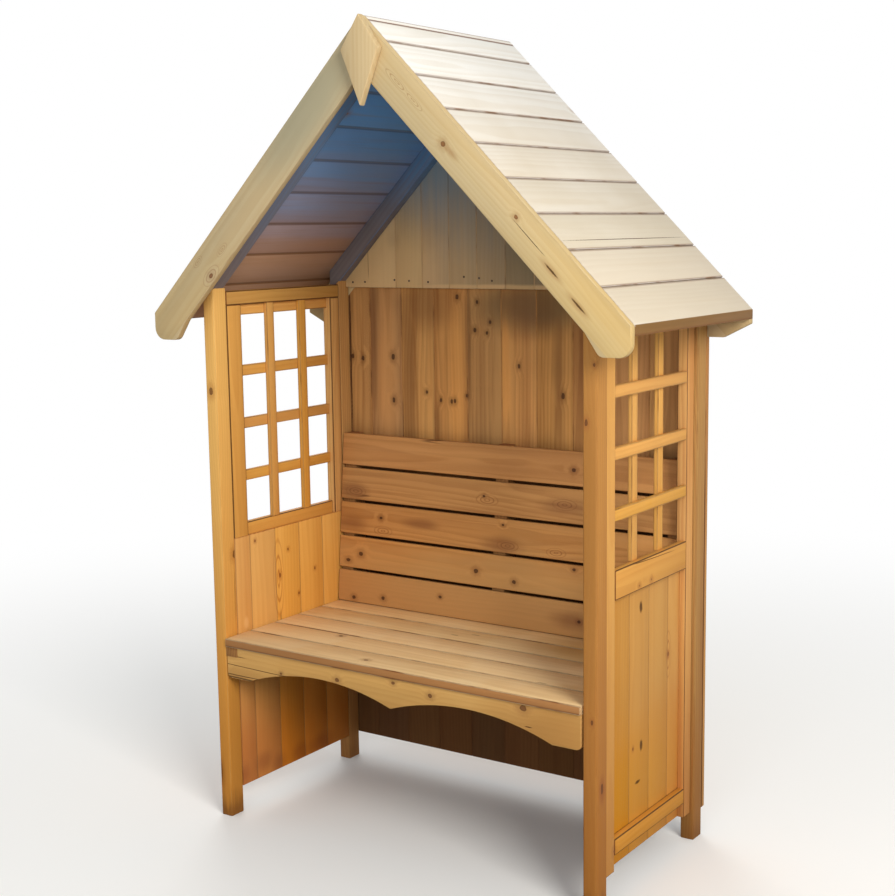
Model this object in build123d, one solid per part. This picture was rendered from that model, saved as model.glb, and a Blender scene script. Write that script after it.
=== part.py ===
from build123d import *
from math import cos, radians, sin, sqrt, tan
import os

# Garden arbour seat with an apex roof. Millimetres. X runs left to right along the front,
# Y from the front to the back and Z up from the ground. The origin is at ground level,
# in the middle of the roof's plan.

# Corner posts
post_width = 36.0            # along X
post_depth = 48.0            # along Y
width_over_posts = 1125.0
depth_over_posts = 554.0

# Roof, pitched at 45 degrees
ridge_height = 2000.0
roof_half_width = 672.0
roof_board_thickness = 16.0
roof_board_cover = 108.0     # width of board that shows, measured down the slope
roof_joint_width = 3.0
roof_joint_depth = 6.0
rafter_width = 40.0          # along Y
rafter_depth = 44.0          # square to the slope
front_overhang = 42.0        # from the front posts to the back of the front bargeboards

# Bargeboards and finial
bargeboard_width = 88.0      # square to the slope
bargeboard_thickness = 18.0
bargeboard_end_depth = 67.0  # plumb, from the roof surface down to the lower end
bargeboard_toe_radius = 30.0
bargeboard_heel_radius = 20.0
bargeboard_flare = 16.0      # the inner edge turns steeper and widens the lower end by this
bargeboard_flare_height = 50.0
rear_toe_length = 68.0       # slanting underside of the rear bargeboards' outer end, along X
rear_toe_rise = 34.0
finial_half_width = 52.0
finial_length = 200.0
finial_shoulder_drop = 76.0  # from the top down to the widest place
finial_offset = 9.0          # the finial is nailed on a little to the right of the middle
finial_thickness = 20.0

# Side panels
panel_thickness = 27.0
stile_width = 54.0
rear_stile_width = 38.0
panel_foot = 70.0            # underside of the side and back boards above the ground
panel_arris = 3.0            # chamfer that makes the joint with the posts show
lining_thickness = 9.0       # boards on the inner face of the lower half
lining_board_cover = 100.0   # laid from the rear edge forwards
lining_top = 740.0
bottom_rail_foot = 108.0
bottom_rail_height = 38.0
mid_rail_foot = 705.0
mid_rail_height = 68.0
top_rail_height = 35.0
top_rail_clearance = 10.0    # below the inner edge of the posts' sloping tops

# Lattice in the upper half of each side panel
lattice_columns = 3
lattice_rows = 4
lattice_top_row_height = 130.0   # clear height, the other rows share the rest evenly
slat_width = 28.0            # upright slats, on the inner face
bar_height = 28.0            # level bars, on the outer face
slat_thickness = 11.0
bar_thickness = 11.0
bar_set_back = 2.0           # bars stand back from the stiles' outer faces

# Back wall and gable
back_board_thickness = 16.0
back_board_cover = 108.0     # laid from the left edge
gable_board_thickness = 14.0
gable_board_cover = 88.0     # laid out from the middle
gable_edge_height = 19.0     # of the gable boards' short upright edges beside the posts
gable_lap = 30.0             # the gable boards hang this far down in front of the back boards
board_joint_width = 4.0
board_joint_depth = 3.0

# Seat
seat_height = 486.0
seat_slat_count = 5
seat_slat_gap = 4.0
seat_back_gap = 69.0         # from the last seat slat to the back wall
seat_slat_thickness = 21.0
seat_nosing = 6.0            # the front slat stands this far in front of the posts
seat_end_clearance = 3.0
seat_arris_radius = 3.0
seat_bearer_width = 38.0
seat_bearer_height = 26.0
seat_back_rail_thickness = 22.0
seat_back_rail_height = 45.0

# Scalloped apron under the front of the seat
apron_thickness = 18.0
apron_end_depth = 83.0       # below the seat slats, at the ends
apron_arch_rise = 43.0
apron_end_flat = 75.0        # level stretch at each end
apron_cusp_rise = 5.0        # the middle cusp stops this far above the ends
apron_corner_radius = 14.0

# Backrest
backrest_slat_count = 5
backrest_slat_height = 89.0  # up the slope of the backrest
backrest_slat_gap = 8.0
backrest_slat_thickness = 15.0
backrest_foot_gap = 87.0     # front face where it meets the seat, ahead of the back wall
backrest_lean = 5.0          # degrees
backrest_arris_radius = 3.0
backrest_bearer_width = 38.0

# Values that follow from those above
half_width = width_over_posts / 2
inner_face = half_width - post_width
panel_front = post_depth
panel_back = depth_over_posts - post_depth
opening_front = panel_front + stile_width
opening_back = panel_back - rear_stile_width
wall_back = depth_over_posts + back_board_thickness
bargeboard_front = -front_overhang - bargeboard_thickness
roof_front = -front_overhang
roof_back = depth_over_posts + bargeboard_thickness
plan_front = bargeboard_front - finial_thickness
shift_y = -(plan_front + roof_back) / 2
rafter_foot_depth = roof_board_thickness + rafter_depth
post_inner_top = ridge_height - rafter_foot_depth * sqrt(2) - inner_face
top_rail_foot = post_inner_top - top_rail_clearance - top_rail_height
gable_foot = post_inner_top - gable_edge_height
back_wall_top = gable_foot + gable_lap
bargeboard_end_height = ridge_height - roof_half_width - bargeboard_end_depth
seat_underside = seat_height - seat_slat_thickness
seat_half_length = inner_face - seat_end_clearance
seat_back = depth_over_posts - seat_back_gap
seat_pitch = (seat_back + seat_nosing + seat_slat_gap) / seat_slat_count
seat_slat_width = seat_pitch - seat_slat_gap
backrest_foot_y = depth_over_posts - backrest_foot_gap
backrest_pitch = backrest_slat_height + backrest_slat_gap
lean = radians(backrest_lean)


def block(x0, x1, y0, y1, z0, z1):
    """A square-edged piece between two corners."""
    corner = Pos((x0 + x1) / 2, (y0 + y1) / 2, (z0 + z1) / 2)
    return corner * Box(x1 - x0, y1 - y0, z1 - z0)


def mirrored(solid, side):
    """The piece as drawn for the right, or its mirror image for the left."""
    return solid if side == "right" else mirror(solid, about=Plane.YZ)


def front_extrusion(face, front, thickness):
    """A face drawn in X and Z, given its thickness from the front plane to the back."""
    turned = Plane(origin=(0, front + thickness, 0), x_dir=(1, 0, 0), z_dir=(0, -1, 0))
    return extrude(turned * face, amount=thickness)


def slope_height(x, depth):
    """Height of the plane that lies this depth below the right roof slope, square to it."""
    return ridge_height - depth * sqrt(2) - x


def post(front):
    """Corner post for the right, its top cut to the slope of the rafters."""
    outline = Polyline(
        (inner_face, 0),
        (half_width, 0),
        (half_width, slope_height(half_width, rafter_foot_depth)),
        (inner_face, slope_height(inner_face, rafter_foot_depth)),
        close=True,
    )
    piece = front_extrusion(make_face(outline), front, post_depth)
    uprights = piece.edges().filter_by(Axis.Z)
    return chamfer(uprights, panel_arris)


def stile(front, width):
    """Upright of the side panel, rebated on its inner face for the lower boards."""
    piece = block(inner_face, inner_face + panel_thickness, front, front + width,
                  panel_foot, top_rail_foot)
    rebate = block(inner_face, inner_face + lining_thickness, front, front + width,
                   panel_foot, lining_top)
    piece -= rebate
    outer = piece.edges().filter_by(Axis.Z).group_by(Axis.X)[-1]
    return chamfer(outer, panel_arris)


def rail(foot, height, front, back, thickness):
    """Level member of the side panel, kept to the panel's outer face."""
    outer = inner_face + panel_thickness
    return block(outer - thickness, outer, front, back, foot, foot + height)


def lattice():
    """Upright slats on the inner face, crossed and backed by level bars on the outer face."""
    foot = mid_rail_foot + mid_rail_height
    clear_width = opening_back - opening_front - (lattice_columns - 1) * slat_width
    column = clear_width / lattice_columns
    outer = inner_face + panel_thickness - bar_set_back
    slat_inner = outer - bar_thickness - slat_thickness
    pieces = []
    for i in range(1, lattice_columns):
        start = opening_front + i * column + (i - 1) * slat_width
        pieces.append(block(slat_inner, slat_inner + slat_thickness, start, start + slat_width,
                            foot, top_rail_foot))
    shared = top_rail_foot - foot - lattice_rows * bar_height - lattice_top_row_height
    row = shared / (lattice_rows - 1)
    lower_bars = [foot + i * (row + bar_height) - bar_height for i in range(1, lattice_rows)]
    for start in lower_bars + [top_rail_foot - bar_height]:
        pieces.append(block(outer - bar_thickness, outer, opening_front, opening_back,
                            start, start + bar_height))
    return Part() + pieces


def board_joints(first, cover, start, stop):
    """Places of the joints between boards of one width, counted from the first joint."""
    count = int((stop - first) / cover)
    places = [first + i * cover for i in range(count + 1)]
    return [x for x in places if start + board_joint_width < x < stop - board_joint_width]


def board_grooves(joints, face_y, foot, top, facing):
    """V joints between upright boards, cut into one face of a wall that runs along X."""
    grooves = []
    for x in joints:
        outline = Polyline(
            (x - board_joint_width / 2, face_y),
            (x + board_joint_width / 2, face_y),
            (x, face_y + facing * board_joint_depth),
            close=True,
        )
        grooves.append(Pos(0, 0, foot) * extrude(make_face(outline), amount=top - foot))
    return grooves


def lining():
    """Upright boards on the inner face of the side panel's lower half, as one jointed sheet."""
    sheet = block(inner_face, inner_face + lining_thickness, panel_front, panel_back,
                  panel_foot, lining_top)
    narrowest = (panel_back - panel_front) % lining_board_cover
    joints = board_joints(panel_front + narrowest, lining_board_cover, panel_front, panel_back)
    for y in joints:
        for face_x, facing in ((inner_face, 1), (inner_face + lining_thickness, -1)):
            outline = Polyline(
                (face_x, y - board_joint_width / 2),
                (face_x, y + board_joint_width / 2),
                (face_x + facing * board_joint_depth, y),
                close=True,
            )
            groove = extrude(make_face(outline), amount=lining_top - panel_foot)
            sheet -= Pos(0, 0, panel_foot) * groove
    return sheet


def back_wall():
    """Upright tongued boards across the back, as one jointed sheet."""
    front = depth_over_posts
    sheet = block(-half_width, half_width, front, wall_back, panel_foot, back_wall_top)
    # the top corners follow the inner edge of the rear bargeboards
    corner = Polyline(
        (half_width, slope_height(half_width, bargeboard_width)),
        (half_width, back_wall_top),
        (slope_height(back_wall_top, bargeboard_width), back_wall_top),
        close=True,
    )
    cut = front_extrusion(make_face(corner), front, back_board_thickness)
    sheet = sheet - cut - mirror(cut, about=Plane.YZ)
    joints = board_joints(-half_width, back_board_cover, -half_width, half_width)
    for face_y, facing in ((front, 1), (wall_back, -1)):
        sheet -= board_grooves(joints, face_y, panel_foot, back_wall_top, facing)
    return sheet


def gable_boards():
    """Upright boards that fill the gable between the rear posts, under the rafters."""
    apex = slope_height(0, rafter_foot_depth)
    outline = Polyline(
        (-inner_face, gable_foot),
        (inner_face, gable_foot),
        (inner_face, slope_height(inner_face, rafter_foot_depth)),
        (0, apex),
        (-inner_face, slope_height(inner_face, rafter_foot_depth)),
        close=True,
    )
    front = depth_over_posts - gable_board_thickness
    sheet = front_extrusion(make_face(outline), front, gable_board_thickness)
    to_left = int(inner_face / gable_board_cover) * gable_board_cover
    joints = board_joints(-to_left, gable_board_cover, -inner_face, inner_face)
    sheet -= board_grooves(joints, front, gable_foot, apex, 1)
    return sheet


def slope_strip(near, far, foot_depth, top_depth, front, thickness):
    """A strip of the right slope between two distances down it from the ridge."""
    down = sqrt(0.5)
    points = [
        (near * down - top_depth * down, ridge_height - near * down - top_depth * down),
        (far * down - top_depth * down, ridge_height - far * down - top_depth * down),
        (far * down - foot_depth * down, ridge_height - far * down - foot_depth * down),
        (near * down - foot_depth * down, ridge_height - near * down - foot_depth * down),
    ]
    return front_extrusion(make_face(Polyline(*points, close=True)), front, thickness)


def roof_boards(side):
    """Level boards of one slope, as one sheet with open joints, its eave cut plumb."""
    slope_length = roof_half_width * sqrt(2)
    near = roof_board_thickness if side == "right" else 0.0
    sheet = slope_strip(near, slope_length + roof_board_thickness, roof_board_thickness, 0,
                        roof_front, roof_back - roof_front)
    beyond = block(roof_half_width, roof_half_width + 2 * roof_board_thickness, roof_front,
                   roof_back, 0, ridge_height)
    sheet -= beyond
    joint = slope_length - roof_board_cover
    while joint > roof_board_cover / 2:
        sheet -= slope_strip(joint - roof_joint_width / 2, joint + roof_joint_width / 2,
                             roof_joint_depth, 0, roof_front, roof_back - roof_front)
        joint -= roof_board_cover
    return mirrored(sheet, side)


def rafter(front):
    """Rafter of the right slope, mitred at the ridge and cut plumb at the post's outer face."""
    outline = Polyline(
        (0, slope_height(0, roof_board_thickness)),
        (half_width, slope_height(half_width, roof_board_thickness)),
        (half_width, slope_height(half_width, rafter_foot_depth)),
        (0, slope_height(0, rafter_foot_depth)),
        close=True,
    )
    return front_extrusion(make_face(outline), front, rafter_width)


def front_bargeboard():
    """Front bargeboard of the right slope, mitred at the ridge, its lower end rounded."""
    inner_toe = slope_height(bargeboard_end_height, bargeboard_width)
    flare_top = bargeboard_end_height + bargeboard_flare_height
    outline = Polyline(
        (0, ridge_height),
        (roof_half_width, slope_height(roof_half_width, 0)),
        (roof_half_width, bargeboard_end_height),
        (inner_toe - bargeboard_flare, bargeboard_end_height),
        (slope_height(flare_top, bargeboard_width), flare_top),
        (0, slope_height(0, bargeboard_width)),
        close=True,
    )
    face = make_face(outline)
    for place, radius in ((-1, bargeboard_toe_radius), (0, bargeboard_heel_radius)):
        lowest = face.vertices().group_by(Axis.Y)[0]
        face = fillet(lowest.sort_by(Axis.X)[place], radius)
    return front_extrusion(face, bargeboard_front, bargeboard_thickness)


def rear_bargeboard():
    """Rear bargeboard under the right slope's boards, its foot returned level to the post."""
    outline = Polyline(
        (0, slope_height(0, roof_board_thickness)),
        (roof_half_width, slope_height(roof_half_width, roof_board_thickness)),
        (roof_half_width, bargeboard_end_height + rear_toe_rise),
        (roof_half_width - rear_toe_length, bargeboard_end_height),
        (half_width, bargeboard_end_height),
        (half_width, slope_height(half_width, bargeboard_width)),
        (0, slope_height(0, bargeboard_width)),
        close=True,
    )
    return front_extrusion(make_face(outline), depth_over_posts, bargeboard_thickness)


def finial():
    """Kite-shaped board over the mitre of the front bargeboards."""
    shoulder = ridge_height - finial_shoulder_drop
    outline = Polyline(
        (finial_offset, ridge_height),
        (finial_offset + finial_half_width, shoulder),
        (finial_offset, ridge_height - finial_length),
        (finial_offset - finial_half_width, shoulder),
        close=True,
    )
    return front_extrusion(make_face(outline), plan_front, finial_thickness)


def apron():
    """Front board under the seat: two arches that meet in a cusp, and rounded ends."""
    foot = seat_underside - apron_end_depth
    cusp = foot + apron_cusp_rise
    end = seat_half_length
    spring = end - apron_end_flat
    crest = foot + apron_arch_rise
    bottom = [
        Line((-end, foot), (-spring, foot)),
        ThreePointArc((-spring, foot), (-spring / 2, crest), (0, cusp)),
        ThreePointArc((0, cusp), (spring / 2, crest), (spring, foot)),
        Line((spring, foot), (end, foot)),
    ]
    rest = Polyline((end, foot), (end, seat_underside), (-end, seat_underside), (-end, foot))
    face = make_face(Curve() + bottom + rest)
    corners = face.vertices().group_by(Axis.Y)[0]
    face = fillet([corners.sort_by(Axis.X)[0], corners.sort_by(Axis.X)[-1]],
                  apron_corner_radius)
    board = front_extrusion(face, 0, apron_thickness)
    notch = block(-inner_face, -inner_face + seat_bearer_width, 0, apron_thickness,
                  seat_underside - seat_bearer_height, seat_underside)
    return board - notch


def seat_slat(index):
    """One level slat of the seat, counted from the front, its long upper edges eased."""
    front = index * seat_pitch - seat_nosing
    slat = block(-seat_half_length, seat_half_length, front, front + seat_slat_width,
                 seat_underside, seat_height)
    upper = slat.edges().filter_by(Axis.X).group_by(Axis.Z)[-1]
    return fillet(upper, seat_arris_radius)


def seat_bearers():
    """Level bearers under the seat slats, the left one run through the apron's notch."""
    side = inner_face - seat_bearer_width / 2
    half = seat_bearer_width / 2
    back = depth_over_posts - seat_back_rail_thickness
    return Part() + [
        block(middle - half, middle + half, front, back,
              seat_underside - seat_bearer_height, seat_underside)
        for middle, front in ((-side, 0), (0, apron_thickness), (side, apron_thickness))
    ]


def backrest_slat(index):
    """One slat of the leaning backrest, counted up from the seat."""
    face = Plane(origin=(0, backrest_foot_y, seat_height), x_dir=(1, 0, 0),
                 z_dir=(0, -cos(lean), sin(lean)))
    # the lowest slat stands on its back edge
    first = backrest_slat_thickness * tan(lean)
    foot = first + index * backrest_pitch
    slat = Box(2 * seat_half_length, backrest_slat_height, backrest_slat_thickness)
    slat = Pos(0, foot + backrest_slat_height / 2, -backrest_slat_thickness / 2) * slat
    front_edges = slat.edges().filter_by(Axis.X).group_by(Axis.Z)[-1]
    return face * fillet(front_edges, backrest_arris_radius)


def backrest_bearers():
    """Tapered uprights between the backrest slats and the back wall."""
    foot = backrest_foot_y + backrest_slat_thickness / cos(lean)
    rise = (backrest_slat_count * backrest_pitch - backrest_slat_gap) * cos(lean)
    outline = Polyline(
        (seat_back, seat_underside),
        (depth_over_posts, seat_underside),
        (depth_over_posts, seat_height + rise),
        (foot + rise * tan(lean), seat_height + rise),
        (foot, seat_height),
        (seat_back, seat_height),
        close=True,
    )
    half = backrest_bearer_width / 2
    side = seat_half_length - half
    return Part() + [
        extrude(Plane(origin=(middle - half, 0, 0), x_dir=(0, 1, 0), z_dir=(1, 0, 0))
                * make_face(outline), amount=backrest_bearer_width)
        for middle in (-side, 0, side)
    ]


def write(name, solid):
    """Export one node, moved so that the origin is in the middle of the plan."""
    export_step(Pos(0, shift_y, 0) * solid, f"parts/{name}.step")


os.makedirs("parts", exist_ok=True)

for side in ("left", "right"):
    write(f"front_post_{side}", mirrored(post(0), side))
    write(f"rear_post_{side}", mirrored(post(panel_back), side))
    write(f"side_front_stile_{side}", mirrored(stile(panel_front, stile_width), side))
    write(f"side_rear_stile_{side}", mirrored(stile(opening_back, rear_stile_width), side))
    write(f"side_top_rail_{side}",
          mirrored(rail(top_rail_foot, top_rail_height, panel_front, panel_back,
                        panel_thickness), side))
    write(f"side_middle_rail_{side}",
          mirrored(rail(mid_rail_foot, mid_rail_height, opening_front, opening_back,
                        panel_thickness - lining_thickness), side))
    write(f"side_bottom_rail_{side}",
          mirrored(rail(bottom_rail_foot, bottom_rail_height, opening_front, opening_back,
                        panel_thickness - lining_thickness), side))
    write(f"side_lattice_{side}", mirrored(lattice(), side))
    write(f"side_boards_{side}", mirrored(lining(), side))
    write(f"roof_boards_{side}", roof_boards(side))
    write(f"front_rafter_{side}", mirrored(rafter(0), side))
    write(f"rear_rafter_{side}", mirrored(rafter(depth_over_posts - rafter_width), side))
    write(f"front_bargeboard_{side}", mirrored(front_bargeboard(), side))
    write(f"rear_bargeboard_{side}", mirrored(rear_bargeboard(), side))

write("finial", finial())
write("back_wall", back_wall())
write("gable_boards", gable_boards())

write("seat_apron", apron())
write("seat_bearers", seat_bearers())
write("seat_back_rail",
      block(-inner_face, inner_face, depth_over_posts - seat_back_rail_thickness,
            depth_over_posts, seat_underside - seat_back_rail_height, seat_underside))
write("backrest_bearers", backrest_bearers())
for i in range(seat_slat_count):
    write(f"seat_slat_{i + 1}", seat_slat(i))
for i in range(backrest_slat_count):
    write(f"backrest_slat_{i + 1}", backrest_slat(i))
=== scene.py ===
import bpy
import random
from math import radians, sqrt
from mathutils import Matrix, Vector


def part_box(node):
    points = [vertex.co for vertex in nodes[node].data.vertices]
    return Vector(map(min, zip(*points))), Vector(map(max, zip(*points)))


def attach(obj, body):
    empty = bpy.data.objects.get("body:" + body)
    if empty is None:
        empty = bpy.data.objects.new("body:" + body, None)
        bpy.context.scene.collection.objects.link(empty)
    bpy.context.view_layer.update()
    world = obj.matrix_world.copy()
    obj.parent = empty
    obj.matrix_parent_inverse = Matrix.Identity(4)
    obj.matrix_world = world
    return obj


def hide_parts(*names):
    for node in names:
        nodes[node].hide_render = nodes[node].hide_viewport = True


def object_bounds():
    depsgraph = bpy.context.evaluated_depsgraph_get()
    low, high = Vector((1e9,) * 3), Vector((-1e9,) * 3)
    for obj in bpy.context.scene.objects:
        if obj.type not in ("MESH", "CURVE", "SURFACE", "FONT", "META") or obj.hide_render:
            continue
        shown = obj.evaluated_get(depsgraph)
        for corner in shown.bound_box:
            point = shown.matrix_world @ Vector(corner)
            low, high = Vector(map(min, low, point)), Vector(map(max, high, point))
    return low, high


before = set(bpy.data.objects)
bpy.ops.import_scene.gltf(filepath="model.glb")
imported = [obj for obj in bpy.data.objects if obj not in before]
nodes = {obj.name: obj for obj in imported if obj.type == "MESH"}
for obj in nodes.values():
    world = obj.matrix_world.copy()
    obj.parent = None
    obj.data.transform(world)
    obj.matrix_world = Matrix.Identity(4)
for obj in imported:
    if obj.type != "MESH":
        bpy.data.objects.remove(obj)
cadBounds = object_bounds()
bpy.ops.object.select_all(action="DESELECT")
chance = random.Random(7)
xAxis, yAxis, zAxis = Vector((1, 0, 0)), Vector((0, 1, 0)), Vector((0, 0, 1))
sides = {"left": -1, "right": 1}
roofPitch = radians(45)
slope = sqrt(0.5)  # sine and cosine of the pitch
ridge = cadBounds[1][2]
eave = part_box("roof_boards_right")[1].x
seatFront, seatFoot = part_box("seat_slat_1")[0].yz
print("frame loaded:", len(nodes), "nodes")


class Wire:
    # one socket of a material, or the start of an empty one; sums on it add Math nodes
    def __init__(self, tree, socket=None):
        self.tree = tree
        self.socket = socket

    def add(self, kind, settings=None, inputs=None, output=0):
        node = self.tree.nodes.new("ShaderNode" + kind)
        for key, value in (settings or {}).items():
            setattr(node, key, value)
        for key, value in (inputs or {}).items():
            if isinstance(value, Wire):
                self.tree.links.new(value.socket, node.inputs[key])
            else:
                node.inputs[key].default_value = value
        return Wire(self.tree, node.outputs[output]) if node.outputs else None

    def pick(self, output):
        return Wire(self.tree, self.socket.node.outputs[output])

    def math(self, operation, *values):
        return self.add("Math", {"operation": operation}, dict(enumerate(values)))

    def __add__(self, other):
        return self.math("ADD", self, other)

    __radd__ = __add__

    def __sub__(self, other):
        return self.math("SUBTRACT", self, other)

    def __rsub__(self, other):
        return self.math("SUBTRACT", other, self)

    def __mul__(self, other):
        return self.math("MULTIPLY", self, other)

    __rmul__ = __mul__

    def __truediv__(self, other):
        return self.math("DIVIDE", self, other)

    def __rtruediv__(self, other):
        return self.math("DIVIDE", other, self)

    def __pow__(self, other):
        return self.math("POWER", self, other)

    def __abs__(self):
        return self.math("ABSOLUTE", self)

    def least(self, other):
        return self.math("MINIMUM", self, other)

    def most(self, other):
        return self.math("MAXIMUM", self, other)

    def smooth(self, low, high):
        # 0 below low, 1 above high; with low above high it runs the other way
        return self.add("MapRange", {"interpolation_type": "SMOOTHSTEP"},
                        {"Value": self, "From Min": low, "From Max": high})

    def parts(self):
        node = self.add("SeparateXYZ", {}, {0: self})
        return [node.pick(i) for i in range(3)]

    def vector(self, x, y, z):
        return self.add("CombineXYZ", {}, {0: x, 1: y, 2: z})

    def noise(self, place, detail, scale=1.0, roughness=0.5):
        return self.add("TexNoise", {"noise_dimensions": "3D"},
                        {"Vector": place, "Scale": scale, "Detail": detail,
                         "Roughness": roughness})

    def mix(self, factor, a, b):
        return self.add("Mix", {"data_type": "RGBA"}, {0: factor, 6: a, 7: b}, 2)

    def column(self, name):
        # the three numbers of an attribute
        return self.add("Attribute", {"attribute_name": name}, output="Vector").parts()

    def offset(self, centre, sizes):
        # how far a place is from a mark's centre, with 1 at the mark's edge
        scaled = self.add("VectorMath", {"operation": "MULTIPLY_ADD"},
                          {0: self, 1: [1 / s for s in sizes],
                           2: [-c / s for c, s in zip(centre, sizes)]})
        return self.add("VectorMath", {"operation": "LENGTH"}, {0: scaled}, "Value")

    def finish(self, kind="Material"):
        self.add("Output" + kind, {}, {"Surface": self})


def tone(r, g, b):
    # a colour as a picture shows it, 0 to 255, made linear
    def linear(c):
        c /= 255
        return c / 12.92 if c <= 0.04045 else ((c + 0.055) / 1.055) ** 2.4
    return (linear(r), linear(g), linear(b), 1.0)


def emptyTree(owner):
    owner.use_nodes = True
    owner.node_tree.nodes.clear()
    return Wire(owner.node_tree)


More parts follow.
